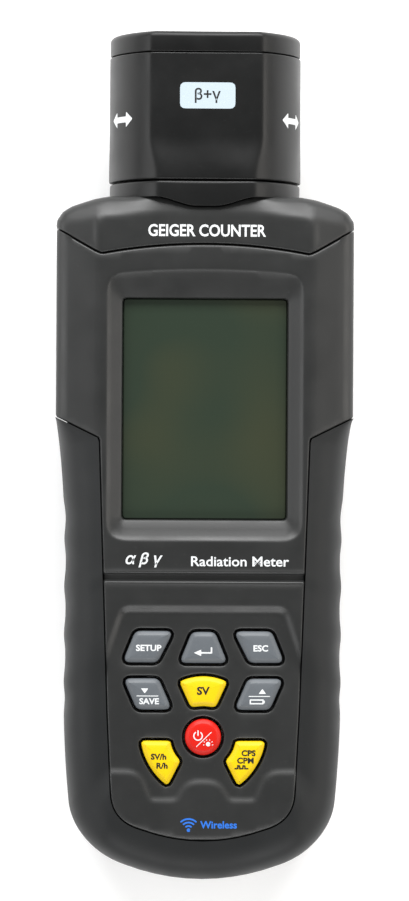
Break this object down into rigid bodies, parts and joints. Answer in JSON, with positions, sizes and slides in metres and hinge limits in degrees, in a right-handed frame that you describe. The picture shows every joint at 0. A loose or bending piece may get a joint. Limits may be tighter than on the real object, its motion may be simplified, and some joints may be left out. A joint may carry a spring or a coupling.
{
  "type": "geiger_counter",
  "caption": "Hand-held radiation meter with an LCD, angled push keys, a rubber boot and a three-position selector drum at the sensor end",
  "frame": {"origin": "centre of the back rest plane, under the middle of the instrument's box", "axes": "lying on its back: +X to the right of the face, +Y to the sensor head, +Z out of the face"},
  "size_m": [0.077, 0.219, 0.046],
  "materials": {
    "case_plastic": "moulded, fine matte texture",
    "boot_rubber": "soft-touch overmould",
    "seal_rubber": "moulded seal",
    "steel": "zinc-plated",
    "plated_sheet": "tin-plated sheet",
    "brass": "turned",
    "window_plastic": "clear hard-coated sheet",
    "lcd_glass": "grey-green reflective display",
    "diffuser": "white light guide",
    "ribbon": "polyimide ribbon",
    "circuit_board": "solder mask",
    "black_plastic": "moulded",
    "printed_sleeve": "shrink sleeve",
    "mat_rubber": "silicone mat",
    "wire_jacket": "insulated wire",
    "drum_plastic": "moulded, fine matte texture",
    "lid_plastic": "moulded, fine matte texture",
    "steel_tube": "drawn",
    "mica": "thin mica",
    "foil": "plain sheet",
    "lead": "dull heavy metal",
    "grey_key": "moulded, printed legend",
    "yellow_key": "moulded, printed legend",
    "red_key": "moulded, printed legend"
  },
  "bodies": {
    "case": {"rear_case": "case_plastic", "front_case": "case_plastic", "head_cover": "case_plastic", "rubber_boot": "boot_rubber", "case_gasket": "seal_rubber", "case_screws": "steel", "tripod_insert": "brass", "lcd_window": "window_plastic", "lcd_frame": "plated_sheet", "lcd_glass": "lcd_glass", "lcd_backlight": "diffuser", "lcd_connector": "ribbon", "main_board": "circuit_board", "board_screws": "steel", "processor_chip": "black_plastic", "hv_transformer": "black_plastic", "hv_capacitor": "printed_sleeve", "wireless_module": "plated_sheet", "buzzer": "black_plastic", "usb_socket": "plated_sheet", "dome_switches": "plated_sheet", "keypad_mat": "mat_rubber", "battery_box": "black_plastic", "batteries": "printed_sleeve", "battery_springs": "steel", "battery_plates": "plated_sheet", "battery_wires": "wire_jacket", "tube_hub": "drum_plastic", "tube_grommet": "seal_rubber", "gm_tube": "steel_tube", "tube_window": "mica", "anode_clip": "brass", "tube_leads": "wire_jacket", "retaining_plate": "plated_sheet", "retaining_screws": "steel", "detent_spring": "steel", "detent_ball": "steel"},
    "selector": {"selector_drum": "drum_plastic", "selector_lid": "lid_plastic", "filter_disc": "steel_tube", "alpha_grille": "steel", "beta_foil": "foil", "gamma_shield": "lead", "lid_screws": "steel"},
    "setup_button": {"setup_key": "grey_key"},
    "enter_button": {"enter_key": "grey_key"},
    "escape_button": {"escape_key": "grey_key"},
    "down_button": {"down_key": "grey_key"},
    "sievert_button": {"sievert_key": "yellow_key"},
    "up_button": {"up_key": "grey_key"},
    "power_button": {"power_key": "red_key"},
    "dose_unit_button": {"dose_unit_key": "yellow_key"},
    "count_button": {"count_key": "yellow_key"},
    "door": {"battery_door": "case_plastic", "battery_door_screw": "steel"}
  },
  "joints": [
    {"name": "selector_turn", "type": "hinge", "parent": "case", "child": "selector", "pos_m": [0, 0.07145, 0.0253], "axis": [0, 1, 0], "continuous": true, "deforming": ["detent_spring", "detent_ball"]},
    {"name": "setup_press", "type": "slide", "parent": "case", "child": "setup_button", "axis": [0, 0, -1], "range_m": [0, 0.0008], "stiffness_N_per_m": 1500, "springref_m": -0.0005},
    {"name": "enter_press", "type": "slide", "parent": "case", "child": "enter_button", "axis": [0, 0, -1], "range_m": [0, 0.0008], "stiffness_N_per_m": 1500, "springref_m": -0.0005},
    {"name": "escape_press", "type": "slide", "parent": "case", "child": "escape_button", "axis": [0, 0, -1], "range_m": [0, 0.0008], "stiffness_N_per_m": 1500, "springref_m": -0.0005},
    {"name": "down_press", "type": "slide", "parent": "case", "child": "down_button", "axis": [0, 0, -1], "range_m": [0, 0.0008], "stiffness_N_per_m": 1500, "springref_m": -0.0005},
    {"name": "sievert_press", "type": "slide", "parent": "case", "child": "sievert_button", "axis": [0, 0, -1], "range_m": [0, 0.0008], "stiffness_N_per_m": 1500, "springref_m": -0.0005},
    {"name": "up_press", "type": "slide", "parent": "case", "child": "up_button", "axis": [0, 0, -1], "range_m": [0, 0.0008], "stiffness_N_per_m": 1500, "springref_m": -0.0005},
    {"name": "power_press", "type": "slide", "parent": "case", "child": "power_button", "axis": [0, 0, -1], "range_m": [0, 0.0008], "stiffness_N_per_m": 1500, "springref_m": -0.0005},
    {"name": "dose_unit_press", "type": "slide", "parent": "case", "child": "dose_unit_button", "axis": [0, 0, -1], "range_m": [0, 0.0008], "stiffness_N_per_m": 1500, "springref_m": -0.0005},
    {"name": "count_press", "type": "slide", "parent": "case", "child": "count_button", "axis": [0, 0, -1], "range_m": [0, 0.0008], "stiffness_N_per_m": 1500, "springref_m": -0.0005},
    {"name": "door_hinge", "type": "hinge", "parent": "case", "child": "door", "pos_m": [0, -0.08715, 0.0011], "axis": [-1, 0, 0], "range_deg": [0, 60]}
  ]
}
